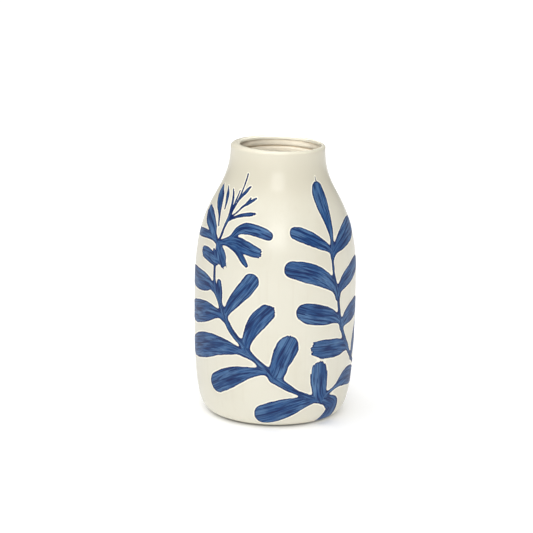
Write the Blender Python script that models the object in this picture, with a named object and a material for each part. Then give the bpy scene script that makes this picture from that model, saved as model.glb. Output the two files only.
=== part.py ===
"""Hand-thrown talavera vase: fired clay, two coats of tin glaze and raised cobalt brush strokes.

The vase stands on its foot ring at z = 0, its axis is Z, and its painted front faces -Y.
Every size is in metres. A place on the wall is an angle, counted from the front towards +X,
and a height in percent of the vase's height.
"""
import math

import bmesh
import bpy
from mathutils import Vector

# --- Driving sizes of the pot -------------------------------------------------------------
HEIGHT = 0.254
BELLY_RADIUS = 0.075
BELLY_HEIGHT = 0.125
NECK_RADIUS = 0.0435
LIP_WIDTH = 0.0058
LIP_RISE = 0.0030
LIP_EDGE = 0.0015
MOUTH_OFFSET = 0.0024
MOUTH_TILT = 1.0
TILT_LENGTH = 0.0450
WALL = 0.0073
THINNING_LENGTH = 0.0615
HEEL_RADIUS = 0.0510
HEEL_HEIGHT = 0.0010
FOOT_SET_BACK = 0.0016
FOOT_RING_WIDTH = 0.0120
FOOT_CHAMFER = 0.0006
RECESS_DEPTH = 0.0030
RECESS_SLOPE = 0.0015

# --- How full the two curves of the wall are, as shares of the stretch that each one spans --
HEEL_SWEEP = 0.770
LOWER_FULLNESS = 0.944
UPPER_FULLNESS = 0.666
NECK_STRAIGHTNESS = 0.375

# --- Coats and clearances -----------------------------------------------------------------
GLAZE = 0.0006
LINING = 0.0006
GAP = 0.0003
PAINT = 0.0004
DIP_LINE = 0.0010
STROKE_CLEARANCE = 0.0006
POINT_WIDTH = 0.10

# --- Fineness of the surface ----------------------------------------------------------------
AROUND = 40
LOWER_RINGS = 6
UPPER_RINGS = 9
LIP_STEPS = 6
STROKE_STEP = 0.0090
STROKE_CELL = 0.0075
PATH_FINENESS = 60
WALL_LOOKUP = 60
CURVE_STEPS = 12
LENGTH_STEPS = 24
FEWEST_STEPS = 3
SHARP_ANGLE = 40

# --- Colours ----------------------------------------------------------------------------------
CLAY_COLOUR = (0.52, 0.33, 0.21, 1.0)
GLAZE_COLOUR = (0.84, 0.80, 0.70, 1.0)
LINING_COLOUR = (0.66, 0.58, 0.45, 1.0)
COBALT_COLOUR = (0.07, 0.15, 0.37, 1.0)

# --- The two long stems: (name, half width at top, middle and end, points along the stroke) --
FLOWER_STEM = (
    "flower_stem", (0.0012, 0.0018, 0.0023),
    ((-49, 64.5), (-48.5, 55), (-46, 48.8), (-40, 43.2), (-34, 37.8), (-24, 32.2),
     (-14, 27.0), (-5, 23.0), (4, 18.6), (15, 15.2), (25, 13.2)),
)
FROND_STEM = (
    "frond_stem", (0.0013, 0.0016, 0.0022),
    ((46, 67.0), (44.6, 60), (45.5, 55.5), (48.5, 49), (50.6, 44.5), (53, 39),
     (57, 33.5), (63, 28.6), (70, 24.8), (80, 21.2), (94, 18.6), (110, 17.0)),
)

# --- Brush strokes: (name, half width, where it is widest along its length, points) -----------
FLOWER_STROKES = (
    ("flower_leaf_left_1", 0.0085, 0.50, ((-49, 50.8), (-58, 51.8), (-70, 51.6), (-82, 51.8), (-96, 51.5))),
    ("flower_leaf_left_2", 0.0090, 0.60, ((-40, 41.3), (-50, 41.9), (-60, 41), (-74, 39.4), (-93, 37))),
    ("flower_leaf_left_3", 0.0095, 0.55, ((-21, 29), (-32, 29.7), (-45, 29.9), (-60, 28.4), (-90, 23.6))),
    ("flower_leaf_left_4", 0.0072, 0.60, ((-8, 22.8), (-18, 21.3), (-30, 19), (-40, 16.5), (-52, 13.6))),
    ("flower_leaf_right_1", 0.0026, 0.50, ((-40, 46.4), (-41.2, 50.4), (-42, 54.8))),
    ("flower_leaf_right_2", 0.0062, 0.70, ((-37.5, 43), (-33, 46.5), (-26, 50.8), (-14.5, 58.3))),
    ("flower_leaf_right_3", 0.0070, 0.60, ((-20, 30.4), (-18.5, 34), (-14, 39.5), (-1, 46.9))),
    ("flower_leaf_right_4", 0.0085, 0.65, ((2, 20.4), (2.5, 24), (5, 28.8), (10.5, 36.2))),
    ("petal_upper_left", 0.0058, 0.60, ((-51, 68.4), (-57, 71.2), (-66, 73.8), (-86, 75.4))),
    ("petal_left", 0.0032, 0.50, ((-51.5, 67.3), (-60, 68.8), (-74, 69), (-90, 67.7))),
    ("petal_lower_left", 0.0048, 0.55, ((-50.5, 62.2), (-60, 62.8), (-70, 63))),
    ("petal_lower_right", 0.0042, 0.50, ((-46, 66.4), (-44.4, 63), (-41, 59))),
    ("petal_upper_right", 0.0038, 0.50, ((-37, 70.2), (-31, 73.4), (-18, 73.7), (-3.5, 71.8))),
    ("petal_right", 0.0046, 0.65, ((-45.5, 68.2), (-38, 68.9), (-27, 68.6), (-11, 65.3))),
    ("petal_inner_right", 0.0020, 0.50, ((-38.5, 66.8), (-31, 65.2), (-26, 62.8), (-22, 60.6))),
    ("stamen_trunk", 0.0014, 0.50, ((-48, 69.2), (-46.4, 72.8), (-43.8, 76.6))),
    ("stamen_right_low", 0.0013, 0.40, ((-41, 76.6), (-35, 77.8), (-28, 78.5), (-18.5, 79))),
    ("stamen_right_high", 0.0014, 0.60, ((-42.5, 78.4), (-39.5, 83), (-35, 85.4), (-29, 87.8))),
    ("stamen_left", 0.0012, 0.50, ((-46, 77.8), (-46.5, 81.5), (-49, 84.6), (-53, 85.6))),
    ("stamen_far_left", 0.0036, 0.70, ((-53.5, 73.4), (-58, 77.6), (-66, 81.8), (-74, 86.2))),
)
BASE_STROKES = (
    ("base_leaf_left", 0.0080, 0.60, ((30, 10.7), (20, 10.2), (8, 8.5), (-3, 7.3), (-14, 5.7))),
    ("base_leaf_up", 0.0080, 0.60, ((36, 14.6), (35, 17), (34.5, 20), (34.5, 24.8))),
    ("base_leaf_right", 0.0072, 0.55, ((46, 13.2), (58, 16.1), (70, 16.0), (92, 13))),
    ("base_leaf_down", 0.0072, 0.50, ((41.5, 11.2), (47, 9.6), (50, 7.2), (50, 4.2))),
)
FROND_STROKES = (
    ("frond_leaf_top", 0.0070, 0.60, ((46, 69), (47, 73), (46, 80), (48, 89.4))),
    ("frond_leaf_left_1", 0.0052, 0.55, ((44.5, 66.1), (36, 68.1), (24, 71.2), (10.5, 74))),
    ("frond_leaf_left_2", 0.0072, 0.60, ((47.5, 50.4), (41, 54), (30, 57.8), (6.5, 61))),
    ("frond_leaf_left_3", 0.0082, 0.55, ((51, 40.2), (42, 41.7), (30, 43.2), (14.5, 45.1))),
    ("frond_leaf_left_4", 0.0078, 0.60, ((62, 28.9), (52, 29.5), (42, 29.6), (27.5, 30.3))),
    ("frond_leaf_right_1", 0.0080, 0.60, ((45.5, 65), (54, 67.7), (68, 71), (90, 72.4))),
    ("frond_leaf_right_2", 0.0072, 0.60, ((49, 50.4), (54, 53.2), (66, 56), (92, 58.6))),
    ("frond_leaf_right_3", 0.0084, 0.60, ((55, 36.6), (60, 40.4), (70, 41.6), (92, 41))),
    ("frond_leaf_right_4", 0.0076, 0.60, ((76, 22.8), (78, 27), (84, 31.5), (97, 35.6))),
)

# --- The pot that the strokes' widths were drawn for; on a smaller pot they narrow with it ----
DRAWN_FOR_HEIGHT = 0.254
DRAWN_FOR_BELLY = 0.075
STROKE_SCALE = min(HEIGHT / DRAWN_FOR_HEIGHT, BELLY_RADIUS / DRAWN_FOR_BELLY)

# --- The back repeats the leafy frond, turned round the pot and drawn in a little -------------
FROND_ANGLE = 46
BACK_FRONDS = (("back_right_", 134), ("back_left_", 214))
BACK_SPREAD = 0.85


def material(name, colour, roughness):
    """One fired surface: a Principled material with a colour and a roughness."""
    made = bpy.data.materials.new(name)
    made.use_nodes = True
    shader = made.node_tree.nodes["Principled BSDF"]
    shader.inputs["Base Color"].default_value = colour
    shader.inputs["Roughness"].default_value = roughness
    shader.inputs["Metallic"].default_value = 0.0
    made.diffuse_color = colour
    return made


def bezier(start, first, second, end, share):
    """The point and the direction of a cubic curve at a share of its length from 0 to 1."""
    rest = 1.0 - share
    place = start * rest ** 3 + first * 3 * rest * rest * share
    place = place + second * 3 * rest * share * share + end * share ** 3
    along = (first - start) * rest * rest + (second - first) * 2 * rest * share
    along = along + (end - second) * share * share
    return place, along.normalized()


def lower_wall(share):
    """The wall's curve from the heel (0) to the widest part of the belly (1)."""
    start = Vector((HEEL_RADIUS, HEEL_HEIGHT))
    end = Vector((BELLY_RADIUS, BELLY_HEIGHT))
    first = start + Vector((HEEL_SWEEP * (BELLY_RADIUS - HEEL_RADIUS), 0.0))
    second = end - Vector((0.0, LOWER_FULLNESS * (BELLY_HEIGHT - HEEL_HEIGHT)))
    return bezier(start, first, second, end, share)


def upper_wall(share):
    """The wall's curve from the belly (0) over the shoulder to the start of the lip (1)."""
    start = Vector((BELLY_RADIUS, BELLY_HEIGHT))
    end = Vector((NECK_RADIUS, HEIGHT - LIP_RISE))
    rise = end.y - start.y
    first = start + Vector((0.0, UPPER_FULLNESS * rise))
    second = end - Vector((0.0, NECK_STRAIGHTNESS * rise))
    return bezier(start, first, second, end, share)


def wall_samples(lower, upper):
    """Points of the wall's outer face with their inward directions, from heel to lip."""
    samples = [lower_wall(step / lower) for step in range(lower)]
    samples = samples + [upper_wall(step / upper) for step in range(upper + 1)]
    return [(place, Vector((-along.y, along.x))) for place, along in samples]


def neck_share(height):
    """0 up to where the wall starts to thin, then evenly up to 1 at the start of the lip."""
    below_lip = HEIGHT - LIP_RISE - height
    return min(max(1 - below_lip / THINNING_LENGTH, 0.0), 1.0)


def wall_thickness(height):
    """The wall thins evenly up the neck to the width of the lip."""
    return WALL + (LIP_WIDTH - WALL) * neck_share(height)


def inner_shift(height):
    """How far the mouth's inside stands off the axis, growing smoothly up the neck."""
    share = neck_share(height)
    return MOUTH_OFFSET * share * share * (3 - 2 * share)


def tilted(x, height):
    """A height raised or lowered by the tilt of the mouth, which grows smoothly up the neck."""
    share = min(max(1 - (HEIGHT - LIP_RISE - height) / TILT_LENGTH, 0.0), 1.0)
    return height - x * math.tan(math.radians(MOUTH_TILT)) * share * share * (3 - 2 * share)


def outside(depth):
    """Section points (radius, height, shift) a set depth under the outer face, heel to neck."""
    points = [place + inward * depth for place, inward in wall_samples(LOWER_RINGS, UPPER_RINGS)]
    return [(point.x, point.y, 0.0) for point in points]


def lip(depth):
    """Section points over the lip at a set depth: a broad round outside, then a tight inner edge."""
    crest = NECK_RADIUS - LIP_WIDTH + LIP_EDGE
    points = []
    for step in range(1, LIP_STEPS + 1):
        turn = math.pi * step / LIP_STEPS
        broad = turn <= math.pi / 2
        width = LIP_WIDTH - LIP_EDGE if broad else LIP_EDGE
        rise = LIP_RISE if broad else LIP_EDGE
        radius = crest + (width - depth) * math.cos(turn)
        height = HEIGHT - rise + (rise - depth) * math.sin(turn)
        points.append((radius, height, MOUTH_OFFSET * step / LIP_STEPS))
    points.append((NECK_RADIUS - LIP_WIDTH + depth, HEIGHT - LIP_RISE, MOUTH_OFFSET))
    return points


def inside(depth):
    """Section points a set depth behind the inner face, from just under the lip to the floor."""
    points = []
    for place, inward in reversed(wall_samples(LOWER_RINGS, UPPER_RINGS)[:-1]):
        face = place + inward * (wall_thickness(place.y) - depth)
        points.append((face.x, face.y, inner_shift(face.y)))
    return points


def turned(name, section, surface):
    """A body turned from its section; a first or last point on the axis closes as a pole."""
    mesh = bpy.data.meshes.new(name)
    build = bmesh.new()
    rings = []
    for radius, height, shift in section:
        if radius == 0.0:
            rings.append([build.verts.new((shift, 0.0, height))])
            continue
        ring = []
        for step in range(AROUND):
            turn = 2 * math.pi * step / AROUND
            x = shift + radius * math.cos(turn)
            ring.append(build.verts.new((x, radius * math.sin(turn), tilted(x, height))))
        rings.append(ring)
    pairs = list(zip(rings, rings[1:]))
    if len(rings[0]) > 1:
        pairs.append((rings[-1], rings[0]))
    for lower, upper in pairs:
        for step in range(AROUND):
            after = (step + 1) % AROUND
            if len(lower) == 1:
                build.faces.new((lower[0], upper[step], upper[after]))
            elif len(upper) == 1:
                build.faces.new((lower[step], lower[after], upper[0]))
            else:
                build.faces.new((lower[step], lower[after], upper[after], upper[step]))
    return finished(name, mesh, build, surface)


def finished(name, mesh, build, surface):
    """Turn the faces outward, name the object, colour it and shade its round faces smooth."""
    bmesh.ops.recalc_face_normals(build, faces=build.faces[:])
    build.to_mesh(mesh)
    build.free()
    mesh.materials.append(surface)
    mesh.shade_smooth()
    mesh.set_sharp_from_angle(angle=math.radians(SHARP_ANGLE))
    body = bpy.data.objects.new(name, mesh)
    bpy.context.scene.collection.objects.link(body)
    return body


def clay_body(surface):
    """The thrown pot: foot ring, recessed underside, wall, lip and floor in one piece of clay."""
    under = GLAZE + GAP
    foot_outer = HEEL_RADIUS - FOOT_SET_BACK
    foot_inner = foot_outer - FOOT_RING_WIDTH
    foot = [
        (0.0, RECESS_DEPTH, 0.0),
        (foot_inner - RECESS_SLOPE, RECESS_DEPTH, 0.0),
        (foot_inner, 0.0, 0.0),
        (foot_outer - FOOT_CHAMFER, 0.0, 0.0),
        (foot_outer, FOOT_CHAMFER, 0.0),
        (foot_outer, HEEL_HEIGHT + under, 0.0),
    ]
    inner = inside(LINING + GAP)
    floor = [(0.0, inner[-1][1], 0.0)]
    return turned("clay_body", foot + outside(under) + lip(under) + inner + floor, surface)


def outer_glaze(surface):
    """The cream coat from just above the foot ring, over the lip to the mouth's inner edge."""
    face = outside(0.0) + lip(0.0)
    back = outside(GLAZE) + lip(GLAZE)
    return turned("outer_glaze", face + back[::-1], surface)


def lining_glaze(surface):
    """The thin warm coat inside, from a dip line under the lip down across the floor."""
    top = HEIGHT - LIP_RISE - DIP_LINE
    edge = NECK_RADIUS - LIP_WIDTH
    face = [(edge, top, MOUTH_OFFSET)] + inside(0.0)
    back = [(edge + LINING, top, MOUTH_OFFSET)] + inside(LINING)
    axis_face = [(0.0, face[-1][1], 0.0)]
    axis_back = [(0.0, back[-1][1], 0.0)]
    return turned("lining_glaze", axis_back + back[::-1] + face + axis_face, surface)


class Wall:
    """The outer face looked up by height, for strokes that lie on it."""

    def __init__(self):
        self.samples = wall_samples(WALL_LOOKUP, WALL_LOOKUP)
        self.heights = [place.y for place, _ in self.samples]

    def at(self, height):
        """The radius and the outward direction (radial, up) of the face at a height."""
        last = len(self.heights) - 2
        low = 0
        while low < last and self.heights[low + 1] < height:
            low += 1
        span = self.heights[low + 1] - self.heights[low]
        share = min(max((height - self.heights[low]) / span, 0.0), 1.0)
        place = self.samples[low][0].lerp(self.samples[low + 1][0], share)
        inward = self.samples[low][1].lerp(self.samples[low + 1][1], share)
        return place.x, -inward.normalized()

    def point(self, angle, height, lift):
        """A point in space over the face, at an angle from the front and a lift off the face."""
        radius, outward = self.at(height)
        reach = radius + outward.x * lift
        x = reach * math.sin(angle)
        return Vector((x, -reach * math.cos(angle), tilted(x, height + outward.y * lift)))


def smooth_path(places, steps):
    """Even steps along a smooth curve through places given as (degrees, percent of height)."""
    knots = [Vector((math.radians(angle), percent / 100 * HEIGHT)) for angle, percent in places]
    knots = [knots[0] * 2 - knots[1]] + knots + [knots[-1] * 2 - knots[-2]]
    fine = []
    for before, start, end, after in zip(knots, knots[1:], knots[2:], knots[3:]):
        for step in range(CURVE_STEPS):
            u = step / CURVE_STEPS
            curve = start * 2 + (end - before) * u
            curve = curve + (before * 2 - start * 5 + end * 4 - after) * u * u
            curve = curve + (start * 3 - before - end * 3 + after) * u ** 3
            fine.append(curve / 2)
    fine.append(knots[-2])
    return [sample_at(fine, step / steps) for step in range(steps + 1)]


def flat(place):
    """A wall place laid out flat in metres, close enough for the lengths and widths of strokes."""
    return Vector((place.x * BELLY_RADIUS, place.y))


def sample_at(line, share):
    """The place at a share of a line's length."""
    lengths = [(flat(b) - flat(a)).length for a, b in zip(line, line[1:])]
    left = share * sum(lengths)
    for start, end, length in zip(line, line[1:], lengths):
        if left <= length:
            return start.lerp(end, left / length)
        left -= length
    return line[-1].copy()


def path_length(places):
    """The length in metres of a path of (degrees, percent) places."""
    line = smooth_path(places, LENGTH_STEPS)
    return sum((flat(b) - flat(a)).length for a, b in zip(line, line[1:]))


def stroke(name, wall, line, half_widths, surface):
    """A closed skin of paint along a line on the wall, its width given at each point."""
    cells = max(1, round(2 * max(half_widths) / STROKE_CELL))
    mesh = bpy.data.meshes.new(name)
    build = bmesh.new()
    under = []
    over = []
    for index, place in enumerate(line):
        before = line[max(index - 1, 0)]
        after = line[min(index + 1, len(line) - 1)]
        along = (flat(after) - flat(before)).normalized()
        across = Vector((-along.y, along.x))
        radius, outward = wall.at(place.y)
        low = []
        high = []
        for cell in range(cells + 1):
            side = half_widths[index] * (2 * cell / cells - 1)
            angle = place.x + across.x * side / radius
            height = place.y + across.y * side * outward.x
            low.append(build.verts.new(wall.point(angle, height, GAP)))
            high.append(build.verts.new(wall.point(angle, height, GAP + PAINT)))
        under.append(low)
        over.append(high)
    last = len(line) - 1
    for row in range(last):
        for cell in range(cells):
            for skin in (over, under):
                build.faces.new((skin[row][cell], skin[row + 1][cell],
                                 skin[row + 1][cell + 1], skin[row][cell + 1]))
        for side in (0, cells):
            build.faces.new((under[row][side], under[row + 1][side], over[row + 1][side], over[row][side]))
    for row in (0, last):
        for cell in range(cells):
            build.faces.new((under[row][cell], over[row][cell], over[row][cell + 1], under[row][cell + 1]))
    return finished(name, mesh, build, surface)


def stem_width(share, widths):
    """A stem's half width, eased from top to middle to end."""
    top, middle, end = [width * STROKE_SCALE for width in widths]
    if share < 0.5:
        return top + (middle - top) * share * 2
    return middle + (end - middle) * (share * 2 - 1)


def leaf_width(share, half_width, widest):
    """A leaf's half width: pointed at both ends, fullest at its widest place."""
    rise = share / widest if share < widest else (1 - share) / (1 - widest)
    return STROKE_SCALE * half_width * (POINT_WIDTH + (1 - POINT_WIDTH) * math.sin(math.pi / 2 * rise))


def clear_of(place, half_width, stems):
    """True when a stroke's place keeps the gap to every stem already painted."""
    for line, widths in stems:
        for start, end in zip(line, line[1:]):
            run = flat(end) - flat(start)
            share = max(0.0, min(1.0, (flat(place) - flat(start)).dot(run) / run.length_squared))
            distance = (flat(place) - flat(start) - run * share).length
            if distance < half_width + max(widths) + STROKE_CLEARANCE:
                return False
    return True


def paint_stem(wall, stem, surface):
    """One long stem; returns its line and half widths, which leaves keep clear of."""
    name, widths, places = stem
    steps = round(path_length(places) / STROKE_STEP)
    line = smooth_path(places, steps)
    half_widths = [stem_width(index / steps, widths) for index in range(steps + 1)]
    stroke(name, wall, line, half_widths, surface)
    return line, half_widths


def paint_leaf(wall, leaf, stems, surface):
    """One leaf or petal, starting at the first place where it clears the stems."""
    name, half_width, widest, places = leaf
    fine = smooth_path(places, PATH_FINENESS)
    first = PATH_FINENESS
    clear = True
    while clear and first > 1:
        first -= 1
        clear = clear_of(fine[first], leaf_width(first / PATH_FINENESS, half_width, widest), stems)
    root = (first + 1) / PATH_FINENESS
    steps = max(FEWEST_STEPS, round(path_length(places) * (1 - root) / STROKE_STEP))
    shares = [root + (1 - root) * step / steps for step in range(steps + 1)]
    line = [sample_at(fine, share) for share in shares]
    stroke(name, wall, line, [leaf_width(share, half_width, widest) for share in shares], surface)


def turned_back(mark, prefix, angle):
    """A stem or leaf of the leafy frond moved round to stand at another angle."""
    moved = [(angle + (place - FROND_ANGLE) * BACK_SPREAD, percent) for place, percent in mark[-1]]
    return (prefix + mark[0],) + mark[1:-1] + (moved,)


def paint(wall, surface):
    """The flower frond, the leafy frond and the base leaves, then the fronds of the back."""
    stems = [paint_stem(wall, FLOWER_STEM, surface), paint_stem(wall, FROND_STEM, surface)]
    for prefix, angle in BACK_FRONDS:
        stems.append(paint_stem(wall, turned_back(FROND_STEM, prefix, angle), surface))
    for leaf in FLOWER_STROKES + FROND_STROKES + BASE_STROKES:
        paint_leaf(wall, leaf, stems, surface)
    for prefix, angle in BACK_FRONDS:
        for leaf in FROND_STROKES:
            paint_leaf(wall, turned_back(leaf, prefix, angle), stems, surface)


def main():
    for old in list(bpy.data.objects):
        bpy.data.objects.remove(old, do_unlink=True)
    clay = material("bare_clay", CLAY_COLOUR, 0.85)
    cream = material("cream_glaze", GLAZE_COLOUR, 0.35)
    warm = material("lining_glaze", LINING_COLOUR, 0.45)
    cobalt = material("cobalt", COBALT_COLOUR, 0.35)
    clay_body(clay)
    outer_glaze(cream)
    lining_glaze(warm)
    paint(Wall(), cobalt)


main()
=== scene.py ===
"""Looks of a hand-thrown talavera vase: clay foot, cream glaze, warm lining and cobalt brush work.

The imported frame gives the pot's sizes. Each finished piece is a plain mesh in metres that rides on
the pot. A place on the wall is an angle from the front towards +X and a height above the foot.
"""
import logging
import math
from collections.abc import Sequence
from dataclasses import dataclass, field
from enum import Enum

import bmesh
import bpy
import numpy as np
from mathutils import Matrix, Vector


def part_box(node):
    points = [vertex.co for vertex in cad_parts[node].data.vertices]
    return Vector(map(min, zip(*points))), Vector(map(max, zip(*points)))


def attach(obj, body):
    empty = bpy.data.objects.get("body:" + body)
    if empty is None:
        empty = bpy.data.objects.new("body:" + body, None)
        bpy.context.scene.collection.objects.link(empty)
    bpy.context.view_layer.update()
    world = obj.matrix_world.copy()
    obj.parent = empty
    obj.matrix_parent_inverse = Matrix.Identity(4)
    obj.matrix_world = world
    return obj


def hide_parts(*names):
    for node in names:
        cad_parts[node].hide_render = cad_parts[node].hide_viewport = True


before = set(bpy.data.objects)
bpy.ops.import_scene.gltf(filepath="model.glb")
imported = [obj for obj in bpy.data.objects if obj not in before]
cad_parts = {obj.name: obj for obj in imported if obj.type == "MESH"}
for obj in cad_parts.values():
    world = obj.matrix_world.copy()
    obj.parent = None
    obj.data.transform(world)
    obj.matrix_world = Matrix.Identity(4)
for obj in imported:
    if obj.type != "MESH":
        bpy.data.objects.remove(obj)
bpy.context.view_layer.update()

LOG = logging.getLogger("talavera_vase")
MM = 0.001
Colour = tuple[float, float, float, float]
Place = tuple[float, float, float]
Socket = bpy.types.NodeSocket
Node = bpy.types.Node
Tree = bpy.types.NodeTree
Material = bpy.types.Material
Mesh = bpy.types.Mesh
Piece = bpy.types.Object


def srgb(red: int, green: int, blue: int) -> Colour:
    """Turn a colour as seen on a screen into the linear values that shaders use.

    Args:
        red: The red part, 0 to 255.
        green: The green part, 0 to 255.
        blue: The blue part, 0 to 255.

    Returns:
        The linear colour with full opacity.
    """
    parts = [value / 255 for value in (red, green, blue)]
    linear = [part / 12.92 if part <= 0.04045 else ((part + 0.055) / 1.055) ** 2.4 for part in parts]
    return linear[0], linear[1], linear[2], 1.0


# -- Node helpers --------------------------------------------

class Graph:
    """A thin hand for wiring shader and geometry trees."""

    def __init__(self, tree: Tree) -> None:
        """Take hold of a tree and empty it.

        Args:
            tree: The tree to fill.
        """
        self.tree = tree
        tree.nodes.clear()

    def add(self, kind: str, settings: dict | None = None, **inputs: object) -> Node:
        """Add a node, set its properties, and set or link its inputs.

        Args:
            kind: The node's type name.
            settings: Properties of the node itself.
            inputs: Values or sockets for its inputs, named with underscores for spaces; a name
                such as "_0" picks an input by number.

        Returns:
            The new node.
        """
        node = self.tree.nodes.new(kind)
        for name, value in (settings or {}).items():
            setattr(node, name, value)
        for name, value in inputs.items():
            key = int(name[1:]) if name[1:].isdigit() else name.replace("_", " ")
            socket = node.inputs[key]
            if isinstance(value, Socket):
                self.tree.links.new(value, socket)
            else:
                socket.default_value = value
        return node

    def math(self, operation: str, first: object, second: object = 0.0, third: object = 0.0) -> Socket:
        """Add a Math node.

        Args:
            operation: The Math node's operation.
            first: Its first value or socket.
            second: Its second value or socket.
            third: Its third value or socket.

        Returns:
            The result's socket.
        """
        node = self.add("ShaderNodeMath", {"operation": operation}, _0=first, _1=second, _2=third)
        return node.outputs[0]

    def times(self, first: object, second: object) -> Socket:
        """The product of two values or sockets."""
        return self.math("MULTIPLY", first, second)

    def ramp(self, value: object, low: float, high: float, start: float = 0.0,
             end: float = 1.0) -> Socket:
        """Ease a value from one range into another, held at both ends.

        Args:
            value: The value or socket to map.
            low: Where the ramp starts.
            high: Where the ramp ends.
            start: The result at the start.
            end: The result at the end.

        Returns:
            The mapped value's socket.
        """
        node = self.add("ShaderNodeMapRange", {"interpolation_type": "SMOOTHSTEP"}, Value=value,
                        From_Min=low, From_Max=high, To_Min=start, To_Max=end)
        return node.outputs["Result"]

    def mix(self, share: object, first: object, second: object) -> Socket:
        """Mix two colours.

        Args:
            share: How much of the second colour shows.
            first: The first colour or socket.
            second: The second colour or socket.

        Returns:
            The mixed colour's socket.
        """
        node = self.tree.nodes.new("ShaderNodeMix")
        node.data_type = "RGBA"
        for index, value in ((0, share), (6, first), (7, second)):
            if isinstance(value, Socket):
                self.tree.links.new(value, node.inputs[index])
            else:
                node.inputs[index].default_value = value
        return node.outputs[2]

    def noise(self, vector: Socket, scale: float, detail: float = 3.0,
              stretch: Sequence[float] = (1, 1, 1), shift: Sequence[float] = (0, 0, 0)) -> Socket:
        """Add stretched noise read from a coordinate.

        Args:
            vector: The coordinate's socket.
            scale: The noise's scale per metre.
            detail: How many octaves it has.
            stretch: Factors on the coordinate, smaller for longer marks.
            shift: Where the pattern starts.

        Returns:
            The noise value's socket, about 0.5 on average.
        """
        placed = self.add("ShaderNodeMapping", Vector=vector, Scale=stretch, Location=shift)
        node = self.add("ShaderNodeTexNoise", Vector=placed.outputs[0], Scale=scale, Detail=detail)
        return node.outputs["Fac"]

    def attribute(self, name: str, output: str = "Fac") -> Socket:
        """A named attribute of the piece, read by a material."""
        settings = {"attribute_name": name, "attribute_type": "GEOMETRY"}
        return self.add("ShaderNodeAttribute", settings).outputs[output]

    def named(self, name: str) -> Socket:
        """A named float attribute of the mesh, read by a geometry tree."""
        node = self.add("GeometryNodeInputNamedAttribute", {"data_type": "FLOAT"}, Name=name)
        return node.outputs["Attribute"]

    def length(self, vector: Socket) -> Socket:
        """The length of a vector."""
        return self.add("ShaderNodeVectorMath", {"operation": "LENGTH"}, _0=vector).outputs["Value"]

    def object_place(self) -> Socket:
        """The place on the piece, in metres."""
        return self.add("ShaderNodeTexCoord").outputs["Object"]

    def joined(self, x: object = 0.0, y: object = 0.0, z: object = 0.0) -> Socket:
        """A vector from its three parts."""
        return self.add("ShaderNodeCombineXYZ", X=x, Y=y, Z=z).outputs[0]

    def place_parts(self) -> Node:
        """The mesh's place, split into its three parts."""
        return self.add("ShaderNodeSeparateXYZ", Vector=self.add("GeometryNodeInputPosition").outputs[0])

    def finish(self, mesh: Socket, source: Node) -> None:
        """Realize a geometry tree's result, dress it and put it out.

        Args:
            mesh: The tree's result.
            source: The group input, whose Surface dresses it.
        """
        real = self.add("GeometryNodeRealizeInstances", Geometry=mesh)
        dressed = self.add("GeometryNodeSetMaterial", Geometry=real.outputs["Geometry"],
                           Material=source.outputs["Surface"])
        self.add("NodeGroupOutput", Geometry=dressed.outputs["Geometry"])


def new_material(name: str) -> tuple[Material, Graph, Node]:
    """Start a material with an empty graph and a Principled shader on its output.

    Args:
        name: The material's name.

    Returns:
        The material, its graph and its shader node.
    """
    material = bpy.data.materials.new(name)
    material.use_nodes = True
    graph = Graph(material.node_tree)
    shader = graph.add("ShaderNodeBsdfPrincipled")
    graph.add("ShaderNodeOutputMaterial", Surface=shader.outputs[0])
    return material, graph, shader


def dress(graph: Graph, shader: Node, tone: Socket, relief: object, strength: float, distance: float,
          rough: object) -> None:
    """Give a shader its colour, its bump and its roughness.

    Args:
        graph: The material's graph.
        shader: The Principled shader.
        tone: The colour's socket.
        relief: The bump's height.
        strength: The bump's strength.
        distance: The bump's depth in metres.
        rough: The roughness, as a number for the shader's own socket or as a socket.
    """
    graph.tree.links.new(tone, shader.inputs["Base Color"])
    bump = graph.add("ShaderNodeBump", Height=relief, Strength=strength, Distance=distance)
    graph.tree.links.new(bump.outputs[0], shader.inputs["Normal"])
    if isinstance(rough, Socket):
        graph.tree.links.new(rough, shader.inputs["Roughness"])
    else:
        shader.inputs["Roughness"].default_value = rough


# -- Finishes ------------------------------------------------

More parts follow.
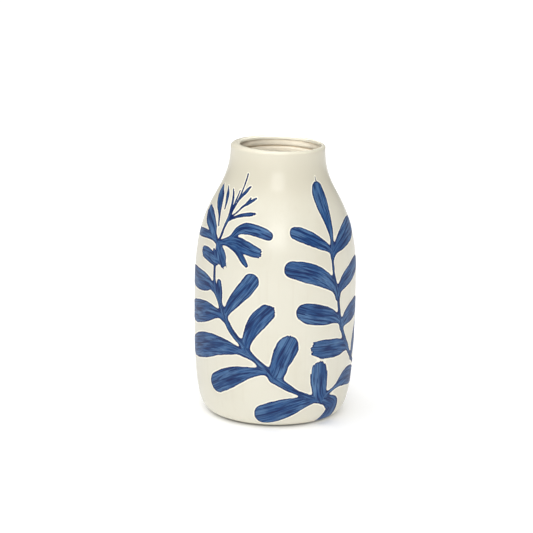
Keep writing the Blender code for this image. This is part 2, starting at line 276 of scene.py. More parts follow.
@dataclass(frozen=True)
class CreamGlaze:
    """The satin tin glaze, paler where it gathers beside the brush strokes, with a painted highlight on
    the inner side of the lip.
    """

    body: Colour = srgb(231, 227, 210)
    darker_tone: Colour = srgb(223, 217, 197)
    pale_glaze_and_lip_highlight: Colour = srgb(252, 247, 228)
    roughness: float = 0.48
    gathered_width: float = 1.3
    coat: float = 0.45
    coat_roughness: float = 0.14

    def material(self) -> Material:
        """Build the glaze.

        Returns:
            The finished material.
        """
        material, graph, shader = new_material("cream_glaze")
        place = graph.object_place()
        drift = graph.noise(place, 22.0, 3.0)
        runs = graph.noise(place, 260.0, 2.0, (1, 1, 0.045))
        grain = graph.noise(place, 1500.0, 2.0)
        tone = graph.mix(graph.ramp(drift, 0.42, 0.72, 0.0, 0.55), self.body, self.darker_tone)
        tone = graph.mix(graph.ramp(runs, 0.54, 0.72, 0.0, 0.24), tone, self.darker_tone)
        tone = graph.mix(graph.ramp(grain, 0.55, 0.80, 0.0, 0.12), tone, self.darker_tone)
        beside = graph.attribute("paint_gap")
        near = graph.ramp(beside, self.gathered_width * 0.75, self.gathered_width, 1.0, 0.0)
        level = graph.attribute("level")
        # Darker up the neck and over the lip, from 195 mm upwards.
        tone = graph.mix(graph.ramp(level, 195 * MM, 228 * MM, 0.0, 0.9), tone, self.darker_tone)
        # Painted highlight: the lip's inner side is mixed towards the pale tone, standing in for light
        # there.
        inner_lip_highlight = graph.attribute("inner_lip_highlight")
        tone = graph.mix(graph.times(inner_lip_highlight, 0.8), tone, self.pale_glaze_and_lip_highlight)
        tone = graph.mix(graph.times(near, 0.9), tone, self.pale_glaze_and_lip_highlight)
        rough = graph.math("MULTIPLY_ADD", drift, 0.10, self.roughness - 0.05)
        height = graph.math("MULTIPLY_ADD", runs, 0.5, graph.times(grain, 0.12))
        height = graph.math("ADD", height, graph.times(near, 0.25))
        dress(graph, shader, tone, height, 0.25, 0.25 * MM, rough)
        shader.inputs["Coat Weight"].default_value = self.coat
        shader.inputs["Coat Roughness"].default_value = self.coat_roughness
        return material


@dataclass(frozen=True)
class LiningGlaze:
    """The thinner coat inside: warm clay tone in random patches, and painted shade darkening the valleys
    of the throwing rings.
    """

    body: Colour = srgb(244, 236, 217)
    clay_tone_and_ring_shade: Colour = srgb(160, 132, 92)
    roughness: float = 0.48

    def material(self) -> Material:
        """Build the lining's glaze.

        Returns:
            The finished material.
        """
        material, graph, shader = new_material("lining_glaze")
        place = graph.object_place()
        drift = graph.noise(place, 30.0, 4.0)
        rings = graph.noise(place, 420.0, 2.0, (0.04, 0.04, 1))
        valley = graph.attribute("valley")
        tone = graph.mix(graph.ramp(drift, 0.40, 0.70, 0.0, 0.28), self.body, self.clay_tone_and_ring_shade)
        # Painted shade: the ring valleys are darkened towards the brown tone.
        tone = graph.mix(graph.times(valley, 0.85), tone, self.clay_tone_and_ring_shade)
        tone = graph.mix(graph.ramp(rings, 0.55, 0.75, 0.0, 0.25), tone, self.clay_tone_and_ring_shade)
        dress(graph, shader, tone, rings, 0.3, 0.3 * MM, self.roughness)
        return material


@dataclass(frozen=True)
class BareClay:
    """Fired earthenware: warm, matte and grained, with turning marks and dark iron specks."""

    body: Colour = srgb(186, 138, 104)
    pale: Colour = srgb(212, 172, 138)
    speck: Colour = srgb(104, 70, 52)
    roughness: float = 0.88
    turning_step: float = 1.7 * MM

    def material(self) -> Material:
        """Build the clay.

        Returns:
            The finished material.
        """
        material, graph, shader = new_material("bare_clay")
        place = graph.object_place()
        drift = graph.noise(place, 45.0, 5.0)
        grain = graph.noise(place, 1400.0, 4.0)
        specks = graph.add("ShaderNodeTexVoronoi", Vector=place, Scale=420.0).outputs["Distance"]
        away = graph.add("ShaderNodeVectorMath", {"operation": "MULTIPLY"}, _0=place, _1=(1, 1, 0))
        turns = graph.times(graph.length(away.outputs[0]), 2 * math.pi / self.turning_step)
        turning = graph.math("SINE", turns)
        tone = graph.mix(graph.ramp(drift, 0.35, 0.70), self.body, self.pale)
        tone = graph.mix(graph.ramp(specks, 0.05, 0.14, 0.75, 0.0), tone, self.speck)
        tone = graph.mix(graph.ramp(grain, 0.5, 0.8, 0.0, 0.3), tone, self.speck)
        height = graph.math("MULTIPLY_ADD", turning, 0.25, grain)
        dress(graph, shader, tone, height, 0.5, 0.3 * MM, self.roughness)
        return material


@dataclass(frozen=True)
class CobaltBrush:
    """Cobalt laid on with a loaded brush: streaked along the stroke, dark where it pools."""

    wash: Colour = srgb(92, 130, 172)
    body: Colour = srgb(40, 84, 138)
    dark: Colour = srgb(14, 36, 86)
    edge: Colour = srgb(14, 38, 94)
    roughness: float = 0.50
    shine: float = 0.25
    edge_width: float = 1.5

    def material(self) -> Material:
        """Build the cobalt.

        Returns:
            The finished material.
        """
        material, graph, shader = new_material("cobalt")
        stroke = graph.attribute("stroke", "Vector")
        place = graph.object_place()
        load = graph.attribute("load")
        depth = graph.attribute("edge")
        broad = graph.noise(stroke, 0.20, 3.0, (0.14, 1, 1))
        hairs = graph.noise(stroke, 0.50, 4.0, (0.10, 1, 1), (2, 5, 0))
        fine = graph.noise(stroke, 1.2, 3.0, (0.07, 1, 1), (7, 3, 0))
        patches = graph.noise(place, 60.0, 3.0)
        light = graph.math("MULTIPLY_ADD", broad, 0.45, graph.times(hairs, 0.45))
        light = graph.math("ADD", light, graph.times(patches, 0.20))
        light = graph.math("SUBTRACT", light, graph.times(load, 0.10))
        tone = graph.mix(graph.ramp(light, 0.47, 0.68), self.body, self.wash)
        smear = graph.times(load, graph.ramp(hairs, 0.38, 0.60, 1.25, 0.35))
        tone = graph.mix(smear, tone, self.dark)
        streak = graph.ramp(hairs, 0.37, 0.48, 0.85, 0.0)
        tone = graph.mix(streak, tone, self.dark)
        tone = graph.mix(graph.ramp(fine, 0.38, 0.54, 0.60, 0.0), tone, self.dark)
        broken = graph.ramp(patches, 0.35, 0.62, 1.0, 0.65)
        rim = graph.ramp(depth, -self.edge_width, -self.edge_width * 0.55, 0.0, 1.0)
        tone = graph.mix(graph.times(rim, broken), tone, self.edge)
        rough = graph.math("MULTIPLY_ADD", fine, 0.20, self.roughness - 0.10)
        dress(graph, shader, tone, fine, 0.35, 0.2 * MM, rough)
        shader.inputs["Specular IOR Level"].default_value = self.shine
        return material


# -- The wall ------------------------------------------------

@dataclass(frozen=True)
class Wall:
    """The pot's section: two curves from heel to lip, with the coats and the wall behind them."""

    height: float
    belly_radius: float
    belly_height: float = 125 * MM
    neck_radius: float = 43.5 * MM
    lip_width: float = 5.8 * MM
    lip_rise: float = 3 * MM
    lip_edge: float = 1.5 * MM
    mouth_offset: float = 2.4 * MM
    mouth_tilt: float = 1.0
    tilt_length: float = 45 * MM
    thickness: float = 7.3 * MM
    thinning_length: float = 61.5 * MM
    heel_radius: float = 51 * MM
    heel_height: float = 1 * MM
    foot_set_back: float = 1.6 * MM
    foot_ring_width: float = 12 * MM
    foot_chamfer: float = 0.6 * MM
    recess_depth: float = 3 * MM
    recess_slope: float = 1.5 * MM
    glaze: float = 0.6 * MM
    gap: float = 0.3 * MM
    heel_sweep: float = 0.770
    lower_fullness: float = 0.944
    upper_fullness: float = 0.666
    neck_straightness: float = 0.375

    @classmethod
    def in_box(cls, high: Sequence[float]) -> "Wall":
        """The wall whose tilted lip just reaches the high corner of the coat's packed box."""
        crest = cls.neck_radius - cls.lip_width + cls.lip_edge - cls.mouth_offset / 2
        return cls(high[2] - crest * math.tan(math.radians(cls.mouth_tilt)), high[0])

    @property
    def lip_base(self) -> float:
        """The height where the lip starts."""
        return self.height - self.lip_rise

    def lean(self, height: np.ndarray) -> np.ndarray:
        """How far places drop for each metre towards +X, because the mouth is tilted."""
        share = np.clip(1 - (self.lip_base - height) / self.tilt_length, 0, 1)
        return math.tan(math.radians(self.mouth_tilt)) * share * share * (3 - 2 * share)

    def outline(self, rows: int) -> tuple[np.ndarray, np.ndarray]:
        """Even steps up the outer face.

        Args:
            rows: How many steps to take from heel to lip.

        Returns:
            The points (radius, height) and the outward directions, one row each.
        """
        heel = np.array([self.heel_radius, self.heel_height])
        belly = np.array([self.belly_radius, self.belly_height])
        neck = np.array([self.neck_radius, self.lip_base])
        sweep = np.array([self.heel_sweep * (self.belly_radius - self.heel_radius), 0])
        drop = np.array([0, self.lower_fullness * (self.belly_height - self.heel_height)])
        rise = np.array([0, self.lip_base - self.belly_height])
        lower = self.curve(heel, heel + sweep, belly - drop, belly)
        upper = self.curve(belly, belly + rise * self.upper_fullness,
                           neck - rise * self.neck_straightness, neck)
        fine = np.vstack([lower[:-1], upper])
        lengths = np.concatenate([[0], np.cumsum(np.hypot(*np.diff(fine, axis=0).T))])
        even = np.linspace(0, lengths[-1], rows + 1)
        points = np.stack([np.interp(even, lengths, fine[:, column]) for column in (0, 1)], axis=1)
        along = np.gradient(fine, axis=0)
        along = np.stack([np.interp(even, lengths, along[:, column]) for column in (0, 1)], axis=1)
        along = along / np.hypot(*along.T)[:, None]
        return points, np.stack([along[:, 1], -along[:, 0]], axis=1)

    @staticmethod
    def curve(start: np.ndarray, first: np.ndarray, second: np.ndarray, end: np.ndarray) -> np.ndarray:
        """A finely stepped cubic curve.

        Args:
            start: Its first point.
            first: The first handle.
            second: The second handle.
            end: Its last point.

        Returns:
            The points along it.
        """
        share = np.linspace(0, 1, 400)[:, None]
        rest = 1 - share
        return (start * rest ** 3 + 3 * first * rest ** 2 * share + 3 * second * rest * share ** 2
                + end * share ** 3)

    def neck_share(self, height: np.ndarray) -> np.ndarray:
        """How far up the thinning neck a height is, 0 to 1."""
        return np.clip(1 - (self.lip_base - height) / self.thinning_length, 0, 1)

    def face(self, rows: int, depth: float) -> np.ndarray:
        """Section points (radius, height, shift) at a depth under the outer face, heel to lip base."""
        points, outward = self.outline(rows)
        return np.column_stack([points - outward * depth, np.zeros(len(points))])

    def lip(self, steps: int, depth: float) -> np.ndarray:
        """Section points over the lip: a broad round outside, then a tight inner edge.

        Args:
            steps: How many steps to take over the lip.
            depth: How far under the surface the points lie.

        Returns:
            Rows of radius, height and shift.
        """
        turn = np.linspace(0, math.pi, steps + 1)[1:]
        broad = turn <= math.pi / 2 + 0.001
        width = np.where(broad, self.lip_width - self.lip_edge, self.lip_edge)
        rise = np.where(broad, self.lip_rise, self.lip_edge)
        radius = self.neck_radius - self.lip_width + self.lip_edge + (width - depth) * np.cos(turn)
        height = self.height - rise + (rise - depth) * np.sin(turn)
        end = [self.neck_radius - self.lip_width + depth, self.lip_base, self.mouth_offset]
        return np.vstack([np.column_stack([radius, height, self.mouth_offset * turn / math.pi]), end])

    def back(self, rows: int, depth: float) -> np.ndarray:
        """Section points of the inner face, from under the lip to the floor.

        Args:
            rows: How many steps to take.
            depth: How far behind the inner face the points lie.

        Returns:
            Rows of radius, height and shift.
        """
        points, outward = self.outline(rows)
        share = self.neck_share(points[:, 1])
        wall = self.thickness + (self.lip_width - self.thickness) * share
        inner = points - outward * (wall - depth)[:, None]
        share = self.neck_share(inner[:, 1])
        shift = self.mouth_offset * share * share * (3 - 2 * share)
        return np.column_stack([inner, shift])[::-1]

    def lookup(self) -> tuple[np.ndarray, np.ndarray, np.ndarray]:
        """Heights with the outer face's radius and outward directions there."""
        points, outward = self.outline(1200)
        return points[:, 1], points[:, 0], outward


# -- Brush strokes -------------------------------------------

class Tip(Enum):
    """How a stroke ends: the brush lifted wet, or dragged dry."""

    ROUND = 0.0
    DRY = 0.9
    RAGGED = 1.6


class Motif(Enum):
    """The painted groups, each one piece."""

    FLOWER_STEM = "flower_stem_cobalt"
    FLOWER_LEAVES = "flower_leaves_cobalt"
    PETALS = "flower_petals_cobalt"
    STAMENS = "flower_stamens_cobalt"
    FROND_STEM = "frond_stem_cobalt"
    FROND_LEAVES = "frond_leaves_cobalt"
    BASE_LEAVES = "base_leaves_cobalt"
    BACK_RIGHT_STEM = "back_right_stem_cobalt"
    BACK_RIGHT_LEAVES = "back_right_leaves_cobalt"
    BACK_LEFT_STEM = "back_left_stem_cobalt"
    BACK_LEFT_LEAVES = "back_left_leaves_cobalt"


@dataclass(frozen=True)
class Stroke:
    """One pull of the brush: places (degrees, millimetres up, half width in millimetres)."""

    motif: Motif
    places: tuple[Place, ...]
    tip: Tip = Tip.ROUND
    load: float = 0.65
    load_at: float = 0.70
    load_side: float = -0.15

    def moved(self, motif: Motif, angle: float, centre: float, spread: float) -> "Stroke":
        """The same stroke painted again elsewhere on the pot.

        Args:
            motif: The group of the copy.
            angle: The angle that the copy's frond stands at.
            centre: The angle that this stroke's frond stands at.
            spread: How much of the width round the pot is kept.

        Returns:
            The new stroke.
        """
        places = tuple((angle + (turn - centre) * spread, up, half) for turn, up, half in self.places)
        return Stroke(motif, places, self.tip, self.load, self.load_at, -self.load_side)


def brushed(motif: Motif, *pulls: tuple) -> tuple[Stroke, ...]:
    """The strokes of one motif, each given as its places, its tip and how it is loaded."""
    return tuple(Stroke(motif, *pull) for pull in pulls)


FLOWER_FROND = brushed(
    Motif.FLOWER_STEM,
    (((-48.8, 171, 1.2), (-49.2, 160, 1.3), (-49, 150, 1.4), (-48.5, 140, 1.5), (-47.5, 131, 1.7),
      (-46, 124, 1.8), (-42, 116, 2.2), (-39, 108, 2.4), (-34, 96, 2.6), (-28, 87, 2.6), (-22, 80, 2.6),
      (-17, 72, 2.6), (-11, 65, 2.6), (-5, 58, 2.9), (1, 50.5, 3.8), (8, 44, 3.3), (16, 37.8, 2.2),
      (24, 33.3, 1.8), (34, 28.5, 1.8)), Tip.ROUND, 0.55, 0.5, 0.3),
) + brushed(
    Motif.FLOWER_LEAVES,
    (((-48.6, 127, 1.4), (-53, 131, 4.2), (-59, 132, 7.6), (-68, 132, 9), (-78, 132, 9),
      (-88, 131.5, 7.5)), Tip.ROUND, 0.5, 0.5),
    (((-42, 115, 1.5), (-42.6, 122, 2.8), (-43, 130, 3.2), (-43.4, 135.8, 2.8)), Tip.DRY, 0.5),
    (((-38.8, 104, 1.4), (-35.6, 110.5, 3.4), (-31.8, 118, 5), (-26.8, 126, 6.2), (-21.6, 133.8, 7),
      (-17.8, 140.8, 7)), Tip.ROUND, 0.75, 0.55, 0.2),
    (((-38.5, 103, 1.8), (-43, 105.9, 3.4), (-50, 106.2, 6), (-58, 104.8, 8.9), (-68, 102, 10),
      (-78, 99.2, 9.8), (-86, 97.5, 8)), Tip.DRY, 0.6, 0.6),
    (((-21.7, 73.5, 1.7), (-20.8, 80, 3.2), (-19.2, 87.5, 4.8), (-16, 97, 6.6), (-11.4, 106, 7.9),
      (-6.2, 113, 7.4)), Tip.DRY, 0.7, 0.65, 0.2),
    (((-18, 71, 1.6), (-26, 74.5, 3.2), (-35, 76.2, 6), (-45, 76, 8.6), (-57, 73.2, 10.8),
      (-67, 69.8, 10.8), (-77, 66, 9.2), (-84, 64, 7)), Tip.ROUND, 0.75, 0.55),
    (((-0.6, 51, 3), (2, 57.5, 7), (3.8, 66, 7.9), (6.4, 74, 9.3), (9.2, 81.5, 9.6)), Tip.DRY, 0.75, 0.7,
      0.1),
    (((-4, 57, 1.8), (-12, 57, 3.5), (-20, 54.9, 5.4), (-29, 50.8, 7.9), (-38, 45.2, 9.2),
      (-45, 40.4, 8.8)), Tip.ROUND, 0.8, 0.72, 0.2),
)

PETALS = brushed(
    Motif.PETALS,
    (((-48.8, 171, 1.4), (-54, 176.5, 2.4), (-58.5, 182, 4.8), (-64, 186.5, 5.8), (-70.5, 190.5, 6.2),
      (-77, 194.5, 4.6)), Tip.RAGGED, 0.7, 0.6),
    (((-48.8, 171, 1.3), (-56, 173.8, 2.2), (-64, 175, 3.4), (-74, 174.2, 3.8), (-84, 172.7, 3.4)),
      Tip.DRY, 0.5, 0.6),
    (((-49.5, 157.2, 1.1), (-53, 158.2, 3), (-58, 159, 4.8), (-64, 159.5, 5)), Tip.DRY, 0.5, 0.4),
    (((-61, 158, 4.4), (-55.5, 156.2, 4.4), (-51, 154.6, 4), (-47.5, 154, 3.2)), Tip.ROUND, 0.5, 0.4),
    (((-49.4, 158, 1.2), (-51.8, 164, 1.3)), Tip.RAGGED, 0.3),
    (((-47.6, 171, 1.4), (-45.6, 166, 3.4), (-43.4, 160, 5), (-41.2, 154, 4.4)), Tip.RAGGED, 0.7, 0.7,
      0.2),
    (((-38, 175.6, 0.8), (-34.6, 180.8, 2.3), (-30.5, 185.3, 3.6), (-25, 187.3, 4.5), (-17, 186.5, 4.6),
      (-10, 184.2, 4.3), (-6.3, 182.6, 3.7)), Tip.ROUND, 0.6, 0.4),
    (((-48, 171.5, 1.4), (-43, 172.8, 2.6), (-38, 174, 4), (-31, 173.8, 5), (-24, 171.2, 5.4),
      (-18, 168.6, 5.1), (-14, 167.2, 4.2)), Tip.RAGGED, 0.8, 0.6, 0.2),
    (((-43, 172.8, 1.4), (-35.6, 170, 2.1), (-30.5, 167.3, 2.4), (-26.9, 163.2, 2.6), (-23.9, 158.3, 2.7),
      (-22, 155.3, 2)), Tip.RAGGED, 0.6, 0.5),
) + brushed(
    Motif.STAMENS,
    (((-48.2, 172, 1.3), (-46.9, 177, 1.2), (-45.5, 185, 1.3), (-44.2, 191, 1.5), (-42.9, 197, 1.5)),
      Tip.RAGGED, 0.8, 0.5),
    (((-44, 191.4, 1.1), (-37.6, 195.3, 1.2), (-29.8, 198.3, 1.5), (-23.8, 199.4, 1.6),
      (-19.5, 200.3, 1.1)), Tip.RAGGED, 0.6, 0.6),
    (((-42.6, 193.8, 0.8), (-36.7, 199.8, 0.7), (-32.7, 204.8, 0.9), (-27.2, 208.8, 1.2),
      (-21, 213, 0.7)), Tip.RAGGED, 0.5, 0.6),
    (((-29.5, 208, 0.9), (-26.5, 212.6, 0.6)), Tip.RAGGED, 0.4),
    (((-43.2, 197, 1.1), (-41.3, 203, 0.9), (-39.2, 210, 1), (-34.7, 216.3, 1.5), (-29.8, 222, 0.9)),
      Tip.RAGGED, 0.5, 0.6),
    (((-40, 208, 0.7), (-38.2, 219, 0.75), (-35.8, 232.5, 0.65)), Tip.RAGGED, 0.6),
    (((-43.6, 197, 0.8), (-42.2, 208, 0.7), (-41.4, 217.5, 0.6)), Tip.RAGGED, 0.6),
    (((-43.8, 195, 1.1), (-45, 205, 1.1), (-48, 213, 1.1), (-51.3, 217.3, 0.8)), Tip.RAGGED, 0.6),
    (((-52, 200.5, 0.7), (-53.4, 206, 1.3), (-56.3, 212, 1.8), (-59.3, 216, 1), (-61.6, 218.8, 0.6)),
      Tip.RAGGED, 0.6),
    (((-52.2, 185.5, 0.7), (-56.2, 195, 1.4), (-60.5, 201, 3.1), (-65.5, 207, 4.3), (-70.5, 212, 4),
      (-73.5, 216.5, 2.2)), Tip.RAGGED, 0.6, 0.5),
)

BASE_LEAVES = brushed(
    Motif.BASE_LEAVES,
    (((34, 28, 2.2), (27, 26.9, 3.5), (19, 25.4, 6.2), (10, 22.3, 8.6), (1, 18.8, 9.7), (-6.6, 16, 9)),
      Tip.ROUND, 0.8, 0.7, 0.1),
    (((38, 27.5, 4), (36, 33, 6.8), (34.9, 41.5, 8), (34.1, 49, 8.8), (33.9, 55.2, 8.8)), Tip.DRY, 0.75),
    (((40, 29, 1.6), (44, 32.3, 1.6), (49, 35.1, 1.8), (54, 37.8, 3), (59, 40.6, 5.4), (66, 42.5, 8),
      (76, 40.5, 8.4), (86, 37, 6.5)), Tip.RAGGED, 0.5),
    (((40.5, 26, 3.5), (46, 23, 5.8), (51, 18.8, 7.3), (50.6, 11.5, 7.6), (47, 2.5, 8.4)), Tip.ROUND, 0.4,
      0.5),
)

LEAFY_FROND = brushed(
    Motif.FROND_STEM,
    (((45.75, 172, 1.2), (44.55, 163, 1.3), (44.25, 155, 1.3), (44.55, 148, 1.3), (45.25, 142, 1.4),
      (47.25, 131, 1.6), (49.75, 121, 1.7), (50.25, 115, 1.6), (52.05, 103, 1.8), (54.75, 92, 1.9),
      (58.75, 82, 2.2), (63.75, 72, 2.5), (69.75, 63, 2), (77.75, 55, 2), (93.75, 47, 1.8),
      (109.75, 43, 1.2)), Tip.ROUND, 0.8, 0.3),
) + brushed(
    Motif.FROND_LEAVES,
    (((44.95, 169, 1.3), (45.75, 178, 2), (45.95, 186, 3.5), (45.55, 196, 5.1), (45.35, 206, 6.8),
      (45.75, 214, 7.4), (46.35, 219.8, 6)), Tip.ROUND, 0.15, 0.5, 0.2),
    (((46.95, 222, 0.9), (46.95, 227, 0.45), (46.75, 231, 0.3)), Tip.RAGGED, 0),
    (((44.75, 163.5, 1.2), (39.75, 170, 3.2), (33.75, 174.2, 4.7), (25.75, 179.6, 5.7),
      (18.75, 183.2, 5.8), (14.35, 185.1, 5)), Tip.ROUND, 0.7, 0.7, 0.1),
    (((44.55, 161, 1.4), (49.25, 167, 3.6), (55.75, 172, 6.6), (64.75, 177, 8.6), (74.75, 180.6, 8.6),
      (82.75, 182.8, 6.8)), Tip.ROUND, 0.5, 0.5),
    (((48.75, 123, 1.6), (44.75, 131.6, 3.4), (39.75, 138.1, 5.8), (30.75, 145.3, 7.9), (20.75, 150, 8.3),
      (11.55, 153, 7.2)), Tip.ROUND, 0.85, 0.8, 0.1),
    (((48.75, 122.5, 1.5), (51.55, 130, 3.6), (57.75, 136.5, 6.6), (65.75, 140.9, 7.6), (73.75, 145, 7.5),
      (81.75, 147, 6)), Tip.ROUND, 0.45, 0.5),
    (((52.05, 99, 1.8), (46.75, 103.5, 4.5), (39.75, 106.5, 7.2), (31.75, 109, 8.8), (24.25, 111.4, 8.8),
      (20.55, 112.9, 7.5)), Tip.ROUND, 0.75, 0.65),
    (((53.95, 92.6, 1.5), (57.75, 97.8, 4.4), (63.25, 101.8, 7.4), (70.75, 104.6, 8.7), (77.75, 106, 8.5),
      (83.75, 105.5, 6.5)), Tip.ROUND, 0.4, 0.5),
    (((63.25, 71.4, 1.9), (57.75, 73.4, 5), (50.75, 74.5, 7.7), (42.75, 75.3, 8.3), (35.75, 76, 8),
      (31.75, 76.4, 6.9)), Tip.RAGGED, 0.7, 0.75, 0.2),
    (((73.75, 58, 1.6), (76.25, 65, 4.5), (79.25, 72, 7), (83.75, 80, 7.6), (89.75, 87, 6.5)), Tip.ROUND,
      0.6, 0.5),
)


@dataclass
class BrushWork:
    """All strokes as distances over the unrolled wall, in millimetres from the paint's edge."""

    wall: Wall
    step: float = 0.5
    reach: float = 4.0
    frond_angle: float = 46.0
    back_right_angle: float = 134.0
    back_left_angle: float = 214.0
    back_spread: float = 0.85
    fillet_share: float = 0.55
    fillet_least: float = 0.45
    fillet_most: float = 4.0
    tremble: float = 0.16
    wet_spread: float = 1.09
    drift_round: float = 0.6
    drift_up: float = -0.7
    bristles: int = 24
    bristle_reach: float = 1.2
    dry_share: float = 0.28
    smear_length: float = 0.24
    smear_width: float = 0.42
    steps_between: int = 6
    least_half: float = 0.3
    seed: int = 11
    strokes: list[Stroke] = field(default_factory=list)

    def __post_init__(self) -> None:
        """List the strokes and sum their distances."""
        self.strokes = list(FLOWER_FROND + PETALS + BASE_LEAVES + LEAFY_FROND)
        places = ((self.back_right_angle, Motif.BACK_RIGHT_STEM, Motif.BACK_RIGHT_LEAVES),
                  (self.back_left_angle, Motif.BACK_LEFT_STEM, Motif.BACK_LEFT_LEAVES))
        for angle, stem, leaves in places:
            for stroke in LEAFY_FROND:
                motif = stem if stroke.motif is Motif.FROND_STEM else leaves
                self.strokes.append(stroke.moved(motif, angle, self.frond_angle, self.back_spread))
        belly = self.wall.belly_radius / MM
        self.columns = round(2 * math.pi * belly / self.step)
        self.rows = round(self.wall.height / MM / self.step)
        self.turn = 360.0 / self.columns
        shape = (self.columns, self.rows)
        self.edge = np.full(shape, self.reach)
        self.nearest = np.full(shape, self.reach)
        self.owner = np.full(shape, -1)
        self.along = np.zeros(shape)
        self.across = np.zeros(shape)
        self.load = np.zeros(shape)
        rng = np.random.default_rng(self.seed)
        for index, stroke in enumerate(self.strokes):
            self.lay(index, stroke, rng)
        self.edge = self.edge + self.tremble * self.waves(rng, 3.2)
        self.edge = self.edge + 0.5 * self.tremble * self.waves(rng, 1.3)

    def waves(self, rng: np.random.Generator, size: float) -> np.ndarray:
        """Smooth random waves over the whole wall that join up round the pot.

        Args:
            rng: The source of the waves.
            size: Their size in millimetres.

        Returns:
            Values of about -1 to 1 on the wall's grid.
        """
        shape = (self.columns, self.rows)
        white = np.fft.rfft2(rng.standard_normal(shape))
        across = np.fft.fftfreq(self.columns, self.step)[:, None]
        upward = np.fft.rfftfreq(self.rows, self.step)[None, :]
        softness = np.exp(-((across ** 2 + upward ** 2) * (size * 1.6) ** 2) * 2)
        soft = np.fft.irfft2(white * softness, s=shape)
        return soft / soft.std() * 0.6

    def radius_at(self, height: np.ndarray) -> np.ndarray:
        """The wall's radius in millimetres at heights in millimetres."""
        heights, radii, _ = self.wall.lookup()
        return np.interp(height, heights / MM, radii / MM)

    def smooth(self, stroke: Stroke) -> np.ndarray:
        """Fine places along a stroke's curve.

        Args:
            stroke: The stroke.

        Returns:
            Rows of degrees, millimetres up and half width.
        """
        knots = np.array(stroke.places, float)
        knots = np.vstack([2 * knots[0] - knots[1], knots, 2 * knots[-1] - knots[-2]])
        fine = []
        for before, start, end, after in zip(knots, knots[1:], knots[2:], knots[3:]):
            for share in np.linspace(0, 1, self.steps_between, endpoint=False):
                fine.append(0.5 * (2 * start + (end - before) * share
                                   + (2 * before - 5 * start + 4 * end - after) * share ** 2
                                   + (3 * start - before - 3 * end + after) * share ** 3))
        fine.append(knots[-2])
        fine = np.array(fine)
        fine = fine + (self.drift_round, self.drift_up, 0.0)
        fine[:, 2] = np.maximum(fine[:, 2] * self.wet_spread, self.least_half)
        return fine

    def lay(self, index: int, stroke: Stroke, rng: np.random.Generator) -> None:
        """Add one stroke's distances to the wall.

        Args:
            index: The stroke's number, which marks the places that it owns.
            stroke: The stroke.
            rng: The source of its bristle marks.
        """
        line = self.smooth(stroke)
        bristles = rng.standard_normal(self.bristles)
        pad = line[:, 2].max() + self.reach + 2
        low_row = max(0, int((line[:, 1].min() - pad) / self.step))
        high_row = min(self.rows, int((line[:, 1].max() + pad) / self.step) + 1)
        small = self.radius_at(np.array([line[:, 1].max() + pad]))[0]
        wide = math.degrees(pad / min(small, self.radius_at(line[:, 1]).min()))
        low_column = int((line[:, 0].min() - wide) / self.turn)
        high_column = int((line[:, 0].max() + wide) / self.turn) + 1
        columns = np.arange(low_column, high_column)
        rows = np.arange(low_row, high_row)
        angle = (columns * self.turn)[:, None] * np.ones(len(rows))[None, :]
        up = (rows * self.step)[None, :] * np.ones(len(columns))[:, None]
        radius = np.radians(self.radius_at(up))
        best = np.full(angle.shape, 1e9)
        along = np.zeros(angle.shape)
        side = np.zeros(angle.shape)
        half = np.ones(angle.shape)
        reached = 0.0
        for start, end in zip(line, line[1:]):
            arc = np.radians(self.radius_at(np.array([(start[1] + end[1]) / 2]))[0])
            run_x = (end[0] - start[0]) * arc
            run_y = end[1] - start[1]
            length = math.hypot(run_x, run_y)
            if length < 1e-6:
                continue
            off_x = (angle - start[0]) * radius
            off_y = up - start[1]
            share = np.clip((off_x * run_x + off_y * run_y) / length ** 2, 0, 1)
            width = start[2] + (end[2] - start[2]) * share
            gap = np.hypot(off_x - run_x * share, off_y - run_y * share) - width
            closer = gap < best
            best = np.where(closer, gap, best)
            along = np.where(closer, reached + share * length, along)
            side = np.where(closer, (run_x * off_y - run_y * off_x) / length, side)
            half = np.where(closer, width, half)
            reached = reached + length
        place = np.clip(side / half, -self.bristle_reach, self.bristle_reach)
        share = along / reached
        hair = (place / self.bristle_reach + 1) / 2 * (self.bristles - 1)
        drag = np.interp(hair, np.arange(self.bristles), bristles)
        near_tip = np.clip((share - 1) / self.dry_share + 1, 0, 1) ** 2
        best = best + stroke.tip.value * near_tip * (0.45 * drag + 0.25) * np.minimum(half / 4, 1.2)
        smear = np.exp(-((share - stroke.load_at) / self.smear_length) ** 2
                       - ((place - stroke.load_side) / self.smear_width) ** 2)
        wrapped = np.mod(columns, self.columns)
        box = np.ix_(wrapped, rows)
        held = self.edge[box]
        broadest = max(place[2] for place in stroke.places)
        fillet = min(max(self.fillet_share * broadest, self.fillet_least), self.fillet_most)
        touch = np.clip(0.5 + 0.5 * (held - best) / fillet, 0, 1)
        joined = held + (best - held) * touch - fillet * touch * (1 - touch)
        self.edge[box] = np.minimum(joined, held)
        mine = best < self.nearest[box]
        self.nearest[box] = np.where(mine, best, self.nearest[box])
        self.owner[box] = np.where(mine, index, self.owner[box])
        self.along[box] = np.where(mine, along + index * 37.0, self.along[box])
        self.across[box] = np.where(mine, side + index * 23.0, self.across[box])
        self.load[box] = np.where(mine, smear * stroke.load, self.load[box])

    def gap_at(self, angle: np.ndarray, up: np.ndarray) -> np.ndarray:
        """The distance from the paint's edge at places on the wall.

        Args:
            angle: Degrees from the front.
            up: Millimetres up.

        Returns:
            Millimetres, negative under the paint.
        """
        column = np.mod(angle / self.turn, self.columns)
        row = np.clip(up / self.step, 0, self.rows - 1.001)
        left = np.floor(column).astype(int) % self.columns
        low = np.floor(row).astype(int)
        right = (left + 1) % self.columns
        over = column - np.floor(column)
        above = row - low
        lower = self.edge[left, low] * (1 - over) + self.edge[right, low] * over
        upper = self.edge[left, low + 1] * (1 - over) + self.edge[right, low + 1] * over
        return lower * (1 - above) + upper * above


# -- Geometry trees ------------------------------------------

